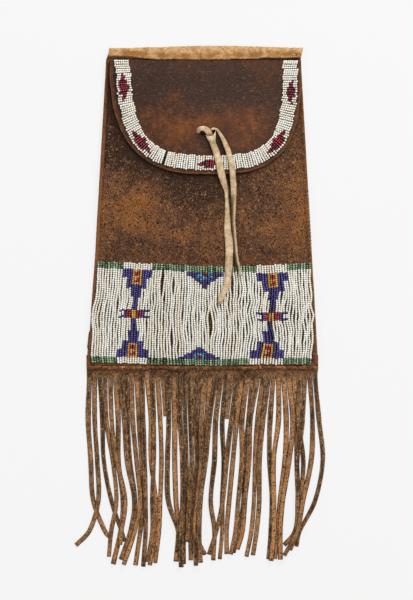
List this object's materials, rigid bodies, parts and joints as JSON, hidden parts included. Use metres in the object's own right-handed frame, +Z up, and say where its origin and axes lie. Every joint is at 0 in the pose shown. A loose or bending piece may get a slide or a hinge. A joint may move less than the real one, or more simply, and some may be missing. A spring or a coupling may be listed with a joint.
{
  "type": "dispatch bag",
  "caption": "Flat hide dispatch bag with a beaded fold-over flap, a thong tie, a beaded lower panel and a long cut fringe.",
  "frame": {"origin": "on the back panel's underside, at the middle of the bag's body", "axes": "the bag lies on its back: +X to the viewer's right, +Y towards the flap's fold, +Z up from the surface that it lies on"},
  "size_m": [0.1993, 0.4147, 0.0193],
  "materials": {
    "smoked_leather": "smoke-darkened tanned hide, worn and specked",
    "raw_edge_leather": "raw hide edge, orange-brown",
    "tan_hide": "stained light hide",
    "fringe_leather": "cut strips of brown hide",
    "buckskin": "pale suede buckskin",
    "green_glass": "dark green glass seed beads",
    "blue_glass": "dark blue glass seed beads",
    "yellow_glass": "yellow and peach glass seed beads",
    "turquoise_glass": "light blue glass seed beads",
    "red_glass": "dark red glass seed beads",
    "white_glass": "chalk white glass seed beads, yellowed"
  },
  "bodies": {
    "bag": {"back_panel": "smoked_leather", "bottom_welt": "raw_edge_leather", "fringe": "fringe_leather", "front_panel": "smoked_leather", "panel_bottom_green_left": "green_glass", "panel_bottom_green_middle": "green_glass", "panel_bottom_green_right": "green_glass", "panel_bottom_triangle_blue": "blue_glass", "panel_bottom_triangle_red": "red_glass", "panel_bottom_triangle_turquoise": "turquoise_glass", "panel_left_figure_left_fork_blue": "blue_glass", "panel_left_figure_left_red": "red_glass", "panel_left_figure_lower_blue": "blue_glass", "panel_left_figure_lower_yellow": "yellow_glass", "panel_left_figure_middle_yellow": "yellow_glass", "panel_left_figure_right_fork_blue": "blue_glass", "panel_left_figure_right_red": "red_glass", "panel_left_figure_upper_blue": "blue_glass", "panel_left_figure_upper_yellow": "yellow_glass", "panel_right_figure_left_fork_blue": "blue_glass", "panel_right_figure_left_red": "red_glass", "panel_right_figure_lower_blue": "blue_glass", "panel_right_figure_lower_yellow": "yellow_glass", "panel_right_figure_middle_yellow": "yellow_glass", "panel_right_figure_right_fork_blue": "blue_glass", "panel_right_figure_right_red": "red_glass", "panel_right_figure_upper_blue": "blue_glass", "panel_right_figure_upper_yellow": "yellow_glass", "panel_top_green_left": "green_glass", "panel_top_green_middle": "green_glass", "panel_top_green_right": "green_glass", "panel_top_triangle_blue": "blue_glass", "panel_top_triangle_red": "red_glass", "panel_top_triangle_turquoise": "turquoise_glass", "panel_white_above_left": "white_glass", "panel_white_below_left": "white_glass", "panel_white_below_right": "white_glass", "panel_white_left": "white_glass", "panel_white_main": "white_glass", "side_welt_left": "raw_edge_leather", "side_welt_right": "raw_edge_leather", "top_binding": "tan_hide"},
    "flap": {"flap": "smoked_leather", "flap_red_bottom": "red_glass", "flap_red_left_lower": "red_glass", "flap_red_left_upper": "red_glass", "flap_red_right_lower": "red_glass", "flap_red_right_upper": "red_glass", "flap_white_border": "white_glass", "thong_knot": "buckskin", "thong_tail_left": "buckskin", "thong_tail_right": "buckskin"}
  },
  "joints": [
    {"name": "flap_hinge", "type": "hinge", "parent": "bag", "child": "flap", "pos_m": [0, 0.1176, 0.00928], "axis": [-1, 0, 0], "range_deg": [0, 170]}
  ]
}
